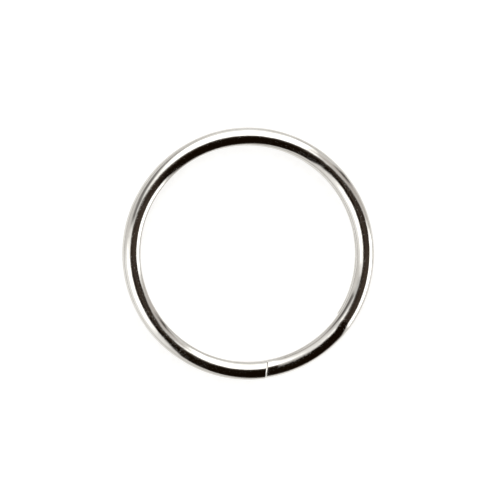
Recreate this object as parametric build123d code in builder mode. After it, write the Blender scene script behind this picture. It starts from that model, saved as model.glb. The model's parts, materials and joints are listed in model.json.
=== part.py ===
from build123d import *
import os
from math import pi

os.makedirs("parts", exist_ok=True)

# A split key ring: one length of tempered spring wire, wound clockwise (seen from the front) through
# almost two turns.  The front coil starts at its cut end, runs nearly all the way round, dives
# through the crossover beneath its own cut end, and carries on as the back coil.  The half-turn
# behind each cut end is free: it springs away from the other coil to let a key in.
#
# Frame: the ring lies flat, +Z towards the front coil, origin at the centre of the eye.
# A place on the wire is named by its turn: degrees wound from the front cut end.

# ---- driving dimensions: millimetres and degrees ----
outer_diameter = 32.0
wire_width = 2.24  # across the wire, along the ring's radius
wire_thickness = 1.30  # of one coil, along Z
coil_gap = 0.05  # air between the two coils where they lie on each other
flex_gap = 0.05  # air between a free stretch and the fixed stretch that it springs from
mandrel_flat_depth = 0.04  # flat that the winding mandrel leaves along the inside of the oval wire
front_end_bearing = -81.0  # of the front cut end, counterclockwise from +X
crossover_turn = 46.0  # over which the wire dives from the front coil to the back coil
ramp_bend = 0.15  # share of the crossover taken by the bend at each end of its straight ramp
free_turn = 180.0  # of each coil that springs away when the ring is pried open
cut_end_turn = 15.0  # of each free half-turn that is its cut end
end_slant = 15.0  # of the sheared cut ends, from square
end_rounding = 0.12  # tumbled edge of the cut ends

# ---- worked-out dimensions ----
full_turn = 360.0
inner_radius = outer_diameter / 2 - wire_width
mid_radius = outer_diameter / 2 - wire_width / 2
oval_width = wire_width + mandrel_flat_depth
oval_centre = outer_diameter / 2 - oval_width / 2
coil_height = (wire_thickness + coil_gap) / 2  # of each coil's middle, above or below z = 0
flex_gap_turn = flex_gap / mid_radius * 180 / pi
shear_allowance = 2.0  # a cut end is wound this much long, in degrees, and then sheared
winding_axis = Axis((0, 0, 0), (0, 0, -1))

crossover_start = full_turn - crossover_turn
back_free_start = full_turn + crossover_start - free_turn
wire_end = back_free_start + free_turn


def station(turn, height):
    """The plane across the wire at a turn: x is outward, y is up, and z runs along the winding."""
    outward = Vector(1, 0, 0).rotate(Axis.Z, front_end_bearing - turn)
    return Plane(origin=(0, 0, height), x_dir=outward, z_dir=outward.cross(Vector(0, 0, 1)))


def ramp_height(share):
    """Height of the wire's middle, a share of the way through the crossover: bend, straight ramp, bend."""
    to_nearer_end = min(share, 1 - share)
    if to_nearer_end < ramp_bend:
        fall = to_nearer_end**2 / (2 * ramp_bend * (1 - ramp_bend))
    else:
        fall = (to_nearer_end - ramp_bend / 2) / (1 - ramp_bend)
    return coil_height * (1 - 2 * fall if share < 0.5 else 2 * fall - 1)


def draw_wire_section():
    """The rolled oval wire, with the flat that the mandrel leaves along the inside."""
    with Locations((oval_centre, 0)):
        Ellipse(oval_width / 2, wire_thickness / 2)
    with Locations((inner_radius, 0)):
        Rectangle(oval_width, wire_thickness, align=(Align.MAX, Align.CENTER), mode=Mode.SUBTRACT)


def keep_stretch(stretch, name):
    """Label a finished stretch of wire and write it out."""
    stretch.part.label = name
    export_step(stretch.part, f"parts/{name}.step")


# ---- the plain stretches of both coils: where each starts and ends, and how high it lies ----
plain_stretches = {
    "front_free_turn": (cut_end_turn, free_turn - flex_gap_turn, coil_height),
    "front_fixed_turn": (free_turn, crossover_start, coil_height),
    "back_fixed_turn": (full_turn, back_free_start, -coil_height),
    "back_free_turn": (back_free_start + flex_gap_turn, wire_end - cut_end_turn, -coil_height),
}
for name, (first_turn, last_turn, height) in plain_stretches.items():
    with BuildPart() as plain_stretch:
        with BuildSketch(station(first_turn, height)):
            draw_wire_section()
        revolve(axis=winding_axis, revolution_arc=last_turn - first_turn)
    keep_stretch(plain_stretch, name)

# ---- the crossover: the same wire, on a straight ramp from the front coil down to the back coil ----
crossover_shares = (0, 0.07, 0.15, 0.25, 0.375, 0.5, 0.625, 0.75, 0.85, 0.93, 1)
with BuildPart() as crossover:
    for share in crossover_shares:
        with BuildSketch(station(crossover_start + share * crossover_turn, ramp_height(share))):
            draw_wire_section()
    loft()
keep_stretch(crossover, "crossover")

# ---- the cut ends: the last of each free half-turn, sheared on a slant and tumbled ----
# For each: where its plain end is, where it is sheared, and how high it lies.
cut_ends = {
    "front_cut_end": (cut_end_turn, 0.0, coil_height),
    "back_cut_end": (wire_end - cut_end_turn, wire_end, -coil_height),
}
for name, (plain_turn, shear_turn, height) in cut_ends.items():
    outwards = 1 if shear_turn > plain_turn else -1  # way the cut end points, along the winding
    square_cut = station(shear_turn, height)
    pivot = square_cut.origin + square_cut.x_dir * mid_radius
    cut = Plane(origin=pivot, x_dir=square_cut.x_dir, z_dir=square_cut.z_dir).rotated((0, -end_slant, 0))
    with BuildPart() as cut_end:
        with BuildSketch(station(min(plain_turn, shear_turn - shear_allowance), height)):
            draw_wire_section()
        revolve(axis=winding_axis, revolution_arc=cut_end_turn + shear_allowance)
        split(bisect_by=cut, keep=Keep.BOTTOM if outwards > 0 else Keep.TOP)
        sheared_face = cut_end.faces().sort_by_distance(pivot)[0]
        fillet(sheared_face.edges(), end_rounding)
    keep_stretch(cut_end, name)
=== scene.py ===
import bpy
import json
import math
import numpy as np
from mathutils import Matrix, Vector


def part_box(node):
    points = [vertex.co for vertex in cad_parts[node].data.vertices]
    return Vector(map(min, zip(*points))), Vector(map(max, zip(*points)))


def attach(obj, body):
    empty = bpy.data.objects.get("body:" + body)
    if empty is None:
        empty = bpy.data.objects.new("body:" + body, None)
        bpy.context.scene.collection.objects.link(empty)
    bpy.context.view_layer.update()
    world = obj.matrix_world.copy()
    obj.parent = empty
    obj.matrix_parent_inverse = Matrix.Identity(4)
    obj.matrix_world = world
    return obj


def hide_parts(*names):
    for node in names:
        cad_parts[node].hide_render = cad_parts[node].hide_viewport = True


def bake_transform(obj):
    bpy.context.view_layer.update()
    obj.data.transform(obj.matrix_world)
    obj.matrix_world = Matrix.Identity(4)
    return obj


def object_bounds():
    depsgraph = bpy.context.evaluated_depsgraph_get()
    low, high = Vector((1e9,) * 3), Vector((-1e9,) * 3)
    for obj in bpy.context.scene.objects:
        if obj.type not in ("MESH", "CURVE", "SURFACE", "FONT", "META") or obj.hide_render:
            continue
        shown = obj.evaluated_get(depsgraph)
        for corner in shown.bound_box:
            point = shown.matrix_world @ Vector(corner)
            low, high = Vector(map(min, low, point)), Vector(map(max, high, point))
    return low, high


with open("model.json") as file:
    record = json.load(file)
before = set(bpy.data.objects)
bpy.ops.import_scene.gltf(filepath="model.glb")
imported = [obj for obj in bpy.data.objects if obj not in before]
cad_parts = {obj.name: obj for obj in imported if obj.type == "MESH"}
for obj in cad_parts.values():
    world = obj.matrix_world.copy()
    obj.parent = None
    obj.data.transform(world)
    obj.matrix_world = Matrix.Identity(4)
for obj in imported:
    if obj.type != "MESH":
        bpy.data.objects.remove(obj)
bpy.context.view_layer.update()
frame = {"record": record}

# A split key ring: one nickel-plated spring wire wound through almost two turns.  The CAD stretches of
# wire are replaced one for one by finely meshed skins.  A place on the wire is named by its turn:
# degrees wound clockwise, seen from the front, from the front cut end.  Lengths are in metres.

# ---- the wire's size, from the frame ----
front_low, front_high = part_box("front_fixed_turn")
half_thickness = (front_high.z - front_low.z) / 2
coil_height = (front_high.z + front_low.z) / 2  # of each coil's middle, above or below z = 0
outer_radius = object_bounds()[1].x
eye = next(mount for mount in frame["record"]["mounts"] if mount["name"] == "eye")
inner_radius = eye["dims"]["r_mm"] / 1000
mid_radius = (outer_radius + inner_radius) / 2
mandrel_flat_depth = 0.04e-3  # the inner side of the oval is pressed flat by this much
half_width = (outer_radius - inner_radius + mandrel_flat_depth) / 2
oval_radius = outer_radius - half_width

# ---- where things are along the wire, in degrees of turn ----
front_end_bearing = -81.0
crossover_start = 314.0
crossover_end = 360.0
ramp_bend = 0.15  # share of the crossover taken by the bend at each end of its ramp
free_turn = 180.0
cut_end_turn = 15.0
back_free_start = crossover_end + crossover_start - free_turn
wire_end = back_free_start + free_turn

# ---- the cut ends ----
end_slant = math.radians(15.0)
end_chamfer = 0.19e-3  # how far along the wire the sheared edge is dressed
end_fall = 0.12e-3  # and how deep it is taken down there
chamfer_bow = 1.25  # 1 would make the chamfer flat; a little more bows it
slant_fade = 3.5e-3  # length over which the rings of the mesh come round from slanted to square

# ---- the polished surface's waves ----
wave_count = 14
shortest_wave, longest_wave = 1.2e-3, 6e-3
wave_steepness = 2.2e-4  # height over length

# ---- the dull groove where each coil rubs on the other ----
groove_edge = 0.45  # share of the half thickness where it begins; it is full at the very top
groove_fade = 2.0  # degrees over which it ends at the crossover

# ---- painted dark reflection: dark streaks painted along the front of the wire, widening the dark band it reflects ----
# First and last turn, then, at the first and at the last, where the middle of the painted streak lies across
# the wire and how far it reaches to each side (the wire's edges are at -1 and 1), and how strongly it is
# painted.
painted_dark_reflections = [
    (297, 331, -0.52, -0.77, 0.24, 0.10, 1.0),
    (287, 328, -0.25, -0.46, 0.34, 0.34, 0.55),
    (110, 162, 0.38, 0.68, 0.24, 0.10, 1.0),
    (116, 156, 0.30, 0.34, 0.32, 0.28, 0.55),
]

# ---- fineness of the meshes ----
ring_step = 0.35  # degrees
points_around = 64


def smoothstep(low, high, value):
    """A smooth rise from 0 at low to 1 at high, or a smooth fall where high is the smaller."""
    share = np.clip((value - low) / (high - low), 0, 1)
    return share * share * (3 - 2 * share)


def middle_height(turn):
    """Height of the wire's middle: level in each coil, a straight ramp with bent ends at the crossover."""
    share = np.clip((turn - crossover_start) / (crossover_end - crossover_start), 0, 1)
    to_nearer_end = np.minimum(share, 1 - share)
    bent = to_nearer_end**2 / (2 * ramp_bend * (1 - ramp_bend))
    straight = (to_nearer_end - ramp_bend / 2) / (1 - ramp_bend)
    fall = np.where(to_nearer_end < ramp_bend, bent, straight)
    return coil_height * np.where(share < 0.5, 1 - 2 * fall, 2 * fall - 1)


def ripple(length, around):
    """The polished surface is not quite true: waves a couple of microns high, a few millimetres long."""
    height = np.zeros(np.broadcast(length, around).shape)
    draw = np.random.default_rng(7)
    for _ in range(wave_count):
        wavelength = draw.uniform(shortest_wave, longest_wave)
        lobes = draw.integers(0, 4)
        phase, swing = draw.uniform(0, 2 * math.pi, 2)
        along = np.sin(2 * math.pi * length / wavelength + phase)
        height = height + along * np.cos(lobes * around + swing) * wavelength
    return height * wave_steepness


def painted_reflection_amount(turn, across):
    """How strongly the dark reflection is painted on the front of the wire; across is -1 at its inner edge, 1
    at its outer.
    """
    amount = 0 * turn * across
    for first, last, start, end, start_reach, end_reach, strength in painted_dark_reflections:
        share = np.clip((turn - first) / (last - first), 0, 1)
        centre = start + (end - start) * share
        reach = start_reach + (end_reach - start_reach) * share
        fade = smoothstep(0, 0.15, share) * smoothstep(1, 0.45, share)
        amount = np.maximum(amount, strength * fade * smoothstep(1, 0.3, np.abs(across - centre) / reach))
    return amount


def surface(turn, around, inset=0.0, shrink=1.0, slant=0.0):
    """Points on the wire's surface, their places on the wire, and how much groove grime and painted dark
    reflection is there.

    A place is the way along the wire, outward from its middle and upward from it.
    """
    length = np.radians(turn) * mid_radius
    out = half_width * np.cos(around)
    up = half_thickness * np.sin(around)
    normal_out = out / half_width**2
    normal_up = up / half_thickness**2
    size = np.hypot(normal_out, normal_up)
    lift = ripple(length, around) - inset
    out = (out + lift * normal_out / size) * shrink
    up = (up + lift * normal_up / size) * shrink
    radius = oval_radius + out
    if shrink == 1.0:
        radius = np.maximum(radius, inner_radius)
    bearing = np.radians(front_end_bearing - turn) - slant * out / radius
    middle = middle_height(turn)
    points = np.stack([radius * np.cos(bearing), radius * np.sin(bearing), middle + up], axis=-1)
    towards_other_coil = -up / half_thickness * middle / coil_height
    before_crossover = smoothstep(groove_fade, 0, turn - crossover_start)
    after_crossover = smoothstep(-groove_fade, 0, turn - crossover_end)
    under_cover = np.maximum(before_crossover, after_crossover)
    groove = smoothstep(groove_edge, 1.0, towards_other_coil) * under_cover
    places = np.stack([length + 0 * out, out, up], axis=-1)
    # only the wire's upper side gets the painted dark reflection
    return points, places, groove, painted_reflection_amount(turn, out / half_width) * (up > 0)


def make_skin(name, rows, closed_by=None):
    """A mesh from rows of points round the wire; closed_by is the surface of one point that ends it."""
    parts = rows if closed_by is None else rows + [closed_by]
    points, places, groove, painted_reflection = (np.concatenate([part[item] for part in parts]) for item in range(4))
    faces = []
    for row in range(len(rows) - 1):
        first = row * points_around
        second = first + points_around
        for place in range(points_around):
            beside = (place + 1) % points_around
            faces.append((first + place, first + beside, second + beside, second + place))
    if closed_by is not None:
        last = (len(rows) - 1) * points_around
        centre = len(points) - 1
        for place in range(points_around):
            faces.append((last + place, last + (place + 1) % points_around, centre))
    mesh = bpy.data.meshes.new(name)
    mesh.from_pydata(points.tolist(), [], faces)
    place_attribute = mesh.attributes.new("wire_place", "FLOAT_VECTOR", "POINT")
    place_attribute.data.foreach_set("vector", places.astype(np.float32).ravel())
    # the groove's grime and the painted dark reflection are stored as point attributes
    for dirt_and_painted_reflection_name, amounts in (("groove", groove), ("painted_reflection", painted_reflection)):
        attribute = mesh.attributes.new(dirt_and_painted_reflection_name, "FLOAT", "POINT")
        attribute.data.foreach_set("value", amounts.astype(np.float32))
    mesh.shade_smooth()
    mesh.validate()
    skin = bpy.data.objects.new(name, mesh)
    bpy.context.scene.collection.objects.link(skin)
    return skin


def around_wire():
    """The angles of a ring of points round the wire, from its outer side over the top."""
    return np.arange(points_around) * 2 * math.pi / points_around


def plain_skin(name, first_turn, last_turn):
    """The skin of a plain stretch of wire."""
    around = around_wire()
    steps = round((last_turn - first_turn) / ring_step)
    turns = np.linspace(first_turn, last_turn, steps + 1)
    return make_skin(name, [surface(turn + 0 * around, around) for turn in turns])


def cut_end_skin(name, plain_turn, shear_turn):
    """The skin of a cut end: square where it meets the plain wire, then slanted, chamfered and closed."""
    way = 1 if shear_turn > plain_turn else -1
    around = around_wire()
    full_length = abs(math.radians(shear_turn - plain_turn)) * mid_radius
    steps = round(abs(shear_turn - plain_turn) / ring_step)
    to_end = list(np.linspace(full_length, end_chamfer, steps + 1))
    to_end += [end_chamfer * (1 - share) for share in (0.1, 0.25, 0.45, 0.7, 0.94, 1.0)]
    rows = []
    for distance in to_end:
        slant = math.tan(end_slant) * (1 - smoothstep(0, slant_fade, distance))
        inset = end_fall * max(1 - distance / end_chamfer, 0) ** chamfer_bow
        turn = shear_turn - way * math.degrees(distance / mid_radius)
        rows.append(surface(turn + 0 * around, around, inset=inset, slant=slant))
    full_slant = math.tan(end_slant)
    for shrink in (0.85, 0.65, 0.45, 0.25, 0.1):
        rows.append(surface(shear_turn + 0 * around, around, inset=end_fall, shrink=shrink, slant=full_slant))
    centre = surface(np.array([shear_turn]), np.array([0.0]), shrink=0.0)
    skin = make_skin(name, rows, closed_by=centre)
    if way < 0:
        skin.data.flip_normals()
    return skin


# ---- the pieces ----
skins = {
    "front_fixed_turn": plain_skin("front_fixed_skin", free_turn, crossover_start),
    "crossover": plain_skin("crossover_skin", crossover_start, crossover_end),
    "back_fixed_turn": plain_skin("back_fixed_skin", crossover_end, back_free_start),
    "front_free_turn": plain_skin("front_free_skin", cut_end_turn, free_turn),
    "back_free_turn": plain_skin("back_free_skin", back_free_start, wire_end - cut_end_turn),
    "front_cut_end": cut_end_skin("front_cut_end_skin", cut_end_turn, 0.0),
    "back_cut_end": cut_end_skin("back_cut_end_skin", wire_end - cut_end_turn, wire_end),
}
for node, skin in skins.items():
    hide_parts(node)
for node in ("front_fixed_turn", "crossover", "back_fixed_turn"):
    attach(skins[node], "fixed_wire")

# Each free half-turn runs from the fixed wire to its cut end and has its placement baked into its mesh; each
# cut end is attached to its free end's body.
for side in ("front", "back"):
    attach(skins[f"{side}_cut_end"], f"{side}_free_end")
    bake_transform(skins[f"{side}_free_turn"])


# ---- materials ----
def add_node(tree, kind, settings=(), **sockets):
    """A node with its settings, and its input sockets filled with values or other nodes' outputs."""
    node = tree.nodes.new(kind)
    for setting, value in dict(settings).items():
        setattr(node, setting, value)
    for socket, value in sockets.items():
        which = int(socket[1:]) if socket[1:].isdigit() else socket.replace("_", " ")
        target = node.inputs[which]
        if isinstance(value, bpy.types.NodeSocket):
            tree.links.new(value, target)
        else:
            target.default_value = value
    return node


def maths(tree, operation, *values):
    """A Math node's output."""
    sockets = {f"_{number}": value for number, value in enumerate(values)}
    return add_node(tree, "ShaderNodeMath", {"operation": operation}, **sockets).outputs[0]


def ramp(tree, value, low, high, to_low=0.0, to_high=1.0):
    """A smooth rise from to_low to to_high as value goes from low to high."""
    return add_node(
        tree, "ShaderNodeMapRange", {"interpolation_type": "SMOOTHSTEP"},
        _0=value, _1=low, _2=high, _3=to_low, _4=to_high,
    ).outputs[0]


def mix(tree, factor, first, second):
    """A colour that goes from first to second, each a colour or another node's output."""
    return add_node(tree, "ShaderNodeMix", {"data_type": "RGBA"}, _0=factor, _6=first, _7=second).outputs[2]


def stretched_noise(tree, place, along, across, detail=3.0, roll=0.0):
    """Noise whose grain is along metres long down the wire and across metres wide, rolled by an angle."""
    rolled = add_node(tree, "ShaderNodeVectorRotate", {"rotation_type": "Z_AXIS"}, Vector=place, Angle=roll)
    scaled = add_node(
        tree, "ShaderNodeVectorMath", {"operation": "MULTIPLY"},
        _0=rolled.outputs[0], _1=(1 / along, 1 / across, 1 / across),
    )
    noise = add_node(tree, "ShaderNodeTexNoise", Vector=scaled.outputs[0], Scale=1.0, Detail=detail)
    return noise.outputs["Fac"]


def new_material(name):
    """A material with one Principled shader: the material, its node tree and the shader."""
    material = bpy.data.materials.new(name)
    material.use_nodes = True
    tree = material.node_tree
    tree.nodes.clear()
    shader = tree.nodes.new("ShaderNodeBsdfPrincipled")
    output = tree.nodes.new("ShaderNodeOutputMaterial")
    tree.links.new(shader.outputs[0], output.inputs["Surface"])
    return material, tree, shader


def nickel_material():
    """Bright nickel plate: drawn lines along the wire, scratches, pits, a dull groove, and painted dark
    reflections streaked along the front.
    """
    material, tree, shader = new_material("nickel_plate")
    place = add_node(tree, "ShaderNodeAttribute", {"attribute_name": "wire_place"}).outputs["Vector"]
    groove = add_node(tree, "ShaderNodeAttribute", {"attribute_name": "groove"}).outputs["Fac"]
    # mask of the painted dark reflection
    painted_reflection = add_node(tree, "ShaderNodeAttribute", {"attribute_name": "painted_reflection"}).outputs["Fac"]

    drawn_lines = stretched_noise(tree, place, 5e-3, 0.07e-3)
    cloud = stretched_noise(tree, place, 2.5e-3, 1.2e-3)
    orange_peel = stretched_noise(tree, place, 0.5e-3, 0.35e-3, detail=1.0)
    pit_noise = stretched_noise(tree, place, 0.11e-3, 0.11e-3, detail=0.0)
    pits = ramp(tree, pit_noise, 0.80, 0.86)
    scratches = None
    for roll, seat in ((0.5, 0.0), (-0.7, 3e-3), (1.25, 7e-3)):
        shift = (seat, seat, seat)
        moved = add_node(tree, "ShaderNodeVectorMath", {"operation": "ADD"}, _0=place, _1=shift).outputs[0]
        lines = ramp(tree, stretched_noise(tree, moved, 2e-3, 0.035e-3, detail=1.0, roll=roll), 0.70, 0.76)
        scratches = lines if scratches is None else maths(tree, "MAXIMUM", scratches, lines)

    colour = mix(tree, ramp(tree, cloud, 0.3, 0.7), (0.73, 0.715, 0.685, 1), (0.67, 0.65, 0.615, 1))
    colour = mix(tree, maths(tree, "MULTIPLY", groove, 0.55), colour, (0.30, 0.25, 0.19, 1))
    # painted dark reflection: near-black base colour streaked along the front, widening the dark band
    # reflected from overhead
    colour = mix(tree, maths(tree, "MULTIPLY", painted_reflection, 0.85), colour, (0.08, 0.072, 0.065, 1))
    colour = mix(tree, maths(tree, "MULTIPLY", pits, 0.5), colour, (0.26, 0.22, 0.18, 1))
    tree.links.new(colour, shader.inputs["Base Color"])

    roughness = ramp(tree, cloud, 0.3, 0.75, 0.04, 0.075)
    for marks, share in ((drawn_lines, 0.05), (scratches, 0.12), (pits, 0.12), (groove, 0.22)):
        roughness = maths(tree, "ADD", roughness, maths(tree, "MULTIPLY", marks, share))
    tree.links.new(roughness, shader.inputs["Roughness"])

    relief = maths(tree, "MULTIPLY", drawn_lines, 0.9e-6)
    relief = maths(tree, "ADD", relief, maths(tree, "MULTIPLY", orange_peel, 3.0e-6))
    relief = maths(tree, "SUBTRACT", relief, maths(tree, "MULTIPLY", scratches, 0.8e-6))
    relief = maths(tree, "SUBTRACT", relief, maths(tree, "MULTIPLY", pits, 1.5e-6))
    bump = add_node(tree, "ShaderNodeBump", Height=relief, Strength=1.0, Distance=1.0)
    tree.links.new(bump.outputs[0], shader.inputs["Normal"])
    shader.inputs["Metallic"].default_value = 1.0
    shader.inputs["Specular Tint"].default_value = (0.80, 0.80, 0.79, 1)
    return material


nickel = nickel_material()
for skin in skins.values():
    skin.data.materials.append(nickel)


# ---- studio: a pale floor under the ring, and a plain ceiling of white panels and dark gaps ----
def floor_material():
    """Pale, matt and finely grained, and lit mostly from below, like a light table."""
    material, tree, shader = new_material("pale_floor")
    where = add_node(tree, "ShaderNodeTexCoord").outputs["Object"]
    grain = add_node(tree, "ShaderNodeTexNoise", Vector=where, Scale=900.0, Detail=2.0).outputs["Fac"]
    shade = ramp(tree, grain, 0.3, 0.7, 0.36, 0.40)
    colour = add_node(tree, "ShaderNodeCombineColor", _0=shade, _1=shade, _2=shade).outputs[0]
    tree.links.new(colour, shader.inputs["Base Color"])
    shader.inputs["Roughness"].default_value = 0.9
    shader.inputs["Specular IOR Level"].default_value = 0.1
    shader.inputs["Emission Color"].default_value = (1, 0.995, 0.985, 1)
    shader.inputs["Emission Strength"].default_value = 0.77
    return material


floor_half = 3.0
floor_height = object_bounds()[0].z
floor_corners = [
    (x * floor_half, y * floor_half, floor_height) for x, y in ((-1, -1), (1, -1), (1, 1), (-1, 1))
]
floor_mesh = bpy.data.meshes.new("floor")
floor_mesh.from_pydata(floor_corners, [], [(0, 1, 2, 3)])
floor = bpy.data.objects.new("floor", floor_mesh)
floor.data.materials.append(floor_material())
bpy.context.scene.collection.objects.link(floor)

tent_light = (0.82, 0.805, 0.785)
haze_light = (1.10, 1.10, 1.09)
panel_light = (2.2, 2.2, 2.16)
warm_light = (0.66, 0.62, 0.595)
gap_light = (0.09, 0.077, 0.068)
seam_light = (0.20, 0.18, 0.165)
rib_light = (0.42, 0.39, 0.37)
dim_light = (0.20, 0.175, 0.16)
deep_light = (0.040, 0.029, 0.022)
brown_light = (0.065, 0.048, 0.036)
dark_light = (0.0075, 0.0034, 0.0008)

# Each patch of the ceiling: brightness, softness of its edges, and its corners counterclockwise on a
# level ceiling one unit above the ring, x to the east and y to the north.  Later patches cover earlier ones.
ceiling = [
    # haze over the north, over the south-west, and along the west of the north panel
    (haze_light, 0.50, [(-0.1, 0.2), (0.25, 0.2), (2.2, 4.5), (-1.2, 4.5)]),
    (haze_light, 0.50, [(-4.0, -3.6), (-0.6, -1.0), (-0.2, -0.2), (-0.2, 0.0), (-4.0, 0.0)]),
    (haze_light, 0.25, [(-0.45, 0.02), (-0.12, 0.02), (-0.12, 1.2), (-0.50, 1.2), (-0.62, 0.5)]),
    # the north, west and east panels
    (panel_light, 0.16, [(0.0, 0.13), (0.18, 0.13), (1.1, 1.5), (-0.36, 1.2), (-0.44, 0.75), (-0.30, 0.16)]),
    (panel_light, 0.24, [(-0.88, -0.72), (-0.2, -0.20), (-0.2, -0.03), (-0.88, 0.06)]),
    (panel_light, 0.30, [(0.85, -0.58), (3.8, -2.7), (3.8, 0.5), (0.85, 0.15)]),
    # warm cloth and a gap between the north and east panels
    (warm_light, 0.20, [(0.35, 0.3), (0.95, 0.35), (3.8, 0.75), (3.8, 1.9), (0.45, 0.6)]),
    (gap_light, 0.24, [(0.85, 0.55), (3.8, 2.2), (3.7, 2.8), (0.8, 0.72)]),
    # a seam and a rib of the tent in the north-west
    (seam_light, 0.10, [(-1.0, 0.75), (-0.82, 0.75), (-0.62, 1.5), (-0.85, 1.5)]),
    (rib_light, 0.14, [
        (-0.78, 0.36), (-0.68, 0.44), (-0.70, 0.74), (-0.62, 0.98), (-0.95, 0.85), (-1.15, 0.62),
    ]),
    # the unlit side, in the south-east
    (dim_light, 0.35, [(-0.45, -1.1), (0.6, -5.0), (4.6, -4.6), (0.95, -0.72)]),
    (deep_light, 0.35, [(0.0, -1.5), (0.9, -5.0), (3.0, -5.0), (1.6, -1.7)]),
    # the gap overhead for the camera: its brown surround, the corner beside it, and the gap itself
    (brown_light, 0.18, [(-0.22, 0.02), (-0.14, -0.3), (0.8, -0.5), (0.8, 0.12), (-0.18, 0.13)]),
    (deep_light, 0.12, [(0.08, 0.04), (0.85, 0.02), (0.98, 0.3), (0.6, 0.31), (0.14, 0.16)]),
    (dark_light, 0.10, [(-0.08, 0.0), (-0.50, -0.95), (-0.2, -1.8), (1.75, -2.0), (0.75, -0.45), (0.1, 0.0)]),
]
lowest_height = 0.03  # directions nearer the horizon than this count as this high
wall_top, wall_light = 0.2, 0.35  # below this height the tent's walls go down to this share of the light


def inside_patch(tree, east, north, softness, corners):
    """1 inside the patch and 0 outside it: the product of a soft edge along each of its sides."""
    inside = None
    for (x0, y0), (x1, y1) in zip(corners, corners[1:] + corners[:1]):
        size = math.hypot(x1 - x0, y1 - y0)
        normal_x, normal_y = -(y1 - y0) / size, (x1 - x0) / size
        east_share = maths(tree, "MULTIPLY", east, normal_x)
        north_share = maths(tree, "MULTIPLY", north, normal_y)
        away = maths(tree, "ADD", east_share, north_share)
        away = maths(tree, "SUBTRACT", away, x0 * normal_x + y0 * normal_y)
        edge = ramp(tree, away, -softness / 2, softness / 2)
        inside = edge if inside is None else maths(tree, "MULTIPLY", inside, edge)
    return inside


def make_world():
    """The light tent: its cloth, with the ceiling's patches laid over it."""
    world = bpy.data.worlds.new("studio")
    bpy.context.scene.world = world
    world.use_nodes = True
    tree = world.node_tree
    tree.nodes.clear()
    way = add_node(tree, "ShaderNodeTexCoord").outputs["Generated"]
    parts = add_node(tree, "ShaderNodeSeparateXYZ", Vector=way)
    height = maths(tree, "MAXIMUM", parts.outputs[2], lowest_height)
    east = maths(tree, "DIVIDE", parts.outputs[0], height)
    north = maths(tree, "DIVIDE", parts.outputs[1], height)
    colour = add_node(tree, "ShaderNodeRGB").outputs[0]
    colour.default_value = (*tent_light, 1)
    for light, softness, corners in ceiling:
        colour = mix(tree, inside_patch(tree, east, north, softness, corners), colour, (*light, 1))
    low_walls = ramp(tree, parts.outputs[2], 0.0, wall_top, wall_light, 1.0)
    background = add_node(tree, "ShaderNodeBackground", Color=colour, Strength=low_walls)
    output = tree.nodes.new("ShaderNodeOutputWorld")
    tree.links.new(background.outputs[0], output.inputs["Surface"])


make_world()
bpy.context.scene.view_settings.view_transform = "Standard"

# ---- camera: almost straight down on the ring, a little from the left ----
camera_lean = math.radians(5.5)
camera_distance = 0.32
view_width = 63.55e-3  # what the picture spans at the ring
aim = (0.2e-3, 0.46e-3, 0.0)
camera_data = bpy.data.cameras.new("camera")
camera_data.sensor_width = 36.0
camera_data.lens = camera_data.sensor_width * camera_distance / view_width
camera = bpy.data.objects.new("camera", camera_data)
camera.location = (
    aim[0] - camera_distance * math.sin(camera_lean),
    aim[1],
    aim[2] + camera_distance * math.cos(camera_lean),
)
camera.rotation_euler = (0, -camera_lean, 0)
camera_data.clip_start, camera_data.clip_end = 0.01, 10.0
bpy.context.scene.collection.objects.link(camera)
bpy.context.scene.camera = camera
